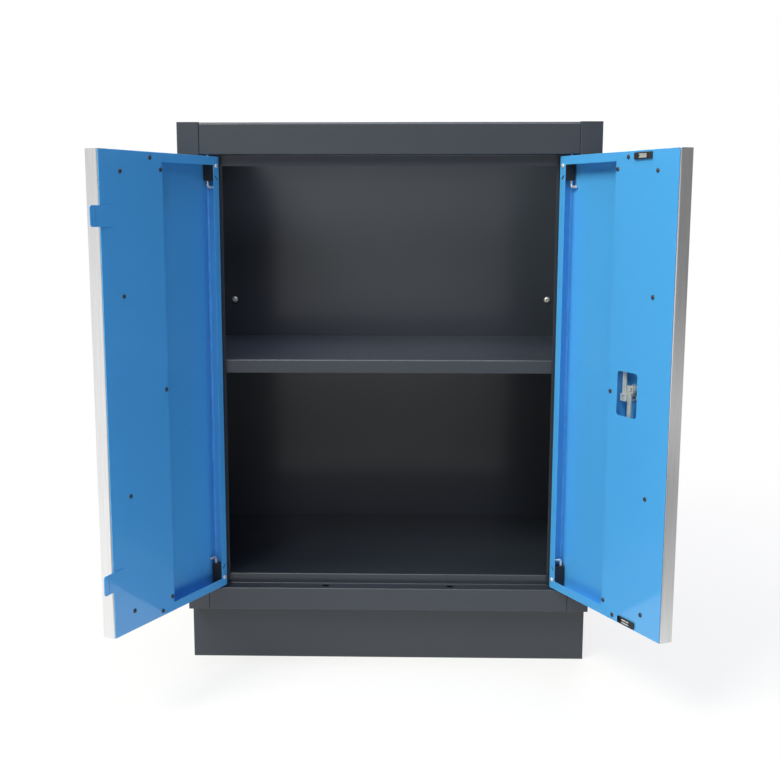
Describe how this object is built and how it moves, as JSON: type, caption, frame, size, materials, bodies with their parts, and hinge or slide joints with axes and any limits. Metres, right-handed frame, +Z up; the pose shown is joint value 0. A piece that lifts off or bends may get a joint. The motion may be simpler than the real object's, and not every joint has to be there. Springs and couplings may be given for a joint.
{
  "type": "workshop base cabinet",
  "caption": "Folded-steel workshop base cabinet on a set-back plinth, with a shelf and blue pan doors on sprung pins, magnetic catches and a rod lock.",
  "frame": {"origin": "on the floor, middle of the width, at the middle of the plinth front's foot flange", "axes": "+X to the right seen from the front, +Y from the doors towards the back, +Z up"},
  "size_m": [0.8464, 0.7438, 0.912],
  "materials": {
    "grey_paint": "satin powder coat",
    "blue_paint": "gloss powder coat",
    "aluminium": "satin anodised extrusion",
    "black_plastic": "moulded matt",
    "zinc_steel": "bright zinc plate"
  },
  "bodies": {
    "carcass": {"back_panel": "grey_paint", "back_panel_bolt_left": "zinc_steel", "back_panel_bolt_right": "zinc_steel", "back_panel_nut_left": "zinc_steel", "back_panel_nut_right": "zinc_steel", "bottom_front_rail": "grey_paint", "bottom_panel": "grey_paint", "left_hinge_bush_lower": "black_plastic", "left_hinge_bush_upper": "black_plastic", "plinth_back": "grey_paint", "plinth_front": "grey_paint", "plinth_side_left": "grey_paint", "plinth_side_right": "grey_paint", "right_hinge_bush_lower": "black_plastic", "right_hinge_bush_upper": "black_plastic", "shelf": "grey_paint", "shelf_bracket_left": "grey_paint", "shelf_bracket_right": "grey_paint", "side_panel_left": "grey_paint", "side_panel_right": "grey_paint", "top_front_rail": "grey_paint", "top_panel": "grey_paint"},
    "left_door": {"left_catch_tab_lower": "blue_paint", "left_catch_tab_upper": "blue_paint", "left_door_shell": "blue_paint", "left_door_stiffener": "blue_paint", "left_handle_profile": "aluminium", "left_hinge_block_lower": "black_plastic", "left_hinge_block_upper": "black_plastic", "left_hinge_screw_lower": "zinc_steel", "left_hinge_screw_upper": "zinc_steel", "left_hinge_spring_lower": "zinc_steel", "left_hinge_spring_upper": "zinc_steel", "left_inner_panel": "blue_paint"},
    "right_door": {"lock_housing": "zinc_steel", "lock_ring_nut": "zinc_steel", "right_door_shell": "blue_paint", "right_door_stiffener": "blue_paint", "right_handle_profile": "aluminium", "right_hinge_block_lower": "black_plastic", "right_hinge_block_upper": "black_plastic", "right_hinge_screw_lower": "zinc_steel", "right_hinge_screw_upper": "zinc_steel", "right_hinge_spring_lower": "zinc_steel", "right_hinge_spring_upper": "zinc_steel", "right_inner_panel": "blue_paint", "right_magnet_catch_lower": "black_plastic", "right_magnet_catch_upper": "black_plastic", "right_magnet_poles_lower": "zinc_steel", "right_magnet_poles_upper": "zinc_steel"},
    "left_upper_pin": {"left_hinge_pin_upper": "zinc_steel"},
    "left_lower_pin": {"left_hinge_pin_lower": "zinc_steel"},
    "right_upper_pin": {"right_hinge_pin_upper": "zinc_steel"},
    "right_lower_pin": {"right_hinge_pin_lower": "zinc_steel"},
    "lock_barrel": {"lock_plug": "zinc_steel", "lock_cam": "zinc_steel", "lock_cam_nut": "zinc_steel"},
    "upper_lock_rod": {"lock_rod_upper": "zinc_steel"},
    "lower_lock_rod": {"lock_rod_lower": "zinc_steel"}
  },
  "joints": [
    {"name": "right_door_hinge", "type": "hinge", "parent": "carcass", "child": "right_door", "pos_m": [0.29254, -0.0485, 0.50025], "axis": [0, 0, 1], "range_deg": [-115.5, 0]},
    {"name": "left_door_hinge", "type": "hinge", "parent": "carcass", "child": "left_door", "pos_m": [-0.29254, -0.0485, 0.50025], "axis": [0, 0, -1], "range_deg": [-115.5, 0]},
    {"name": "right_upper_pin_slide", "type": "slide", "parent": "right_door", "child": "right_upper_pin", "axis": [0, 0, -1], "range_m": [0, 0.01], "stiffness_N_per_m": 500, "springref_m": -0.005, "deforming": ["right_hinge_spring_upper"]},
    {"name": "right_lower_pin_slide", "type": "slide", "parent": "right_door", "child": "right_lower_pin", "axis": [0, 0, 1], "range_m": [0, 0.01], "stiffness_N_per_m": 500, "springref_m": -0.005, "deforming": ["right_hinge_spring_lower"]},
    {"name": "left_upper_pin_slide", "type": "slide", "parent": "left_door", "child": "left_upper_pin", "axis": [0, 0, -1], "range_m": [0, 0.01], "stiffness_N_per_m": 500, "springref_m": -0.005, "deforming": ["left_hinge_spring_upper"]},
    {"name": "left_lower_pin_slide", "type": "slide", "parent": "left_door", "child": "left_lower_pin", "axis": [0, 0, 1], "range_m": [0, 0.01], "stiffness_N_per_m": 500, "springref_m": -0.005, "deforming": ["left_hinge_spring_lower"]},
    {"name": "lock_turn", "type": "hinge", "parent": "right_door", "child": "lock_barrel", "pos_m": [0.37606, -0.20735, 0.50025], "axis": [0.9026, 0.4305, 0], "range_deg": [0, 90]},
    {"name": "upper_rod_slide", "type": "slide", "parent": "right_door", "child": "upper_lock_rod", "axis": [0, 0, 1], "range_m": [0, 0.01344]},
    {"name": "lower_rod_slide", "type": "slide", "parent": "right_door", "child": "lower_lock_rod", "axis": [0, 0, -1], "range_m": [0, 0.01344]}
  ],
  "couplings": [
    {"joint": "lock_turn", "follows": "upper_rod_slide", "rad_per_m": 116.91},
    {"joint": "lower_rod_slide", "follows": "upper_rod_slide", "ratio": 1}
  ]
}
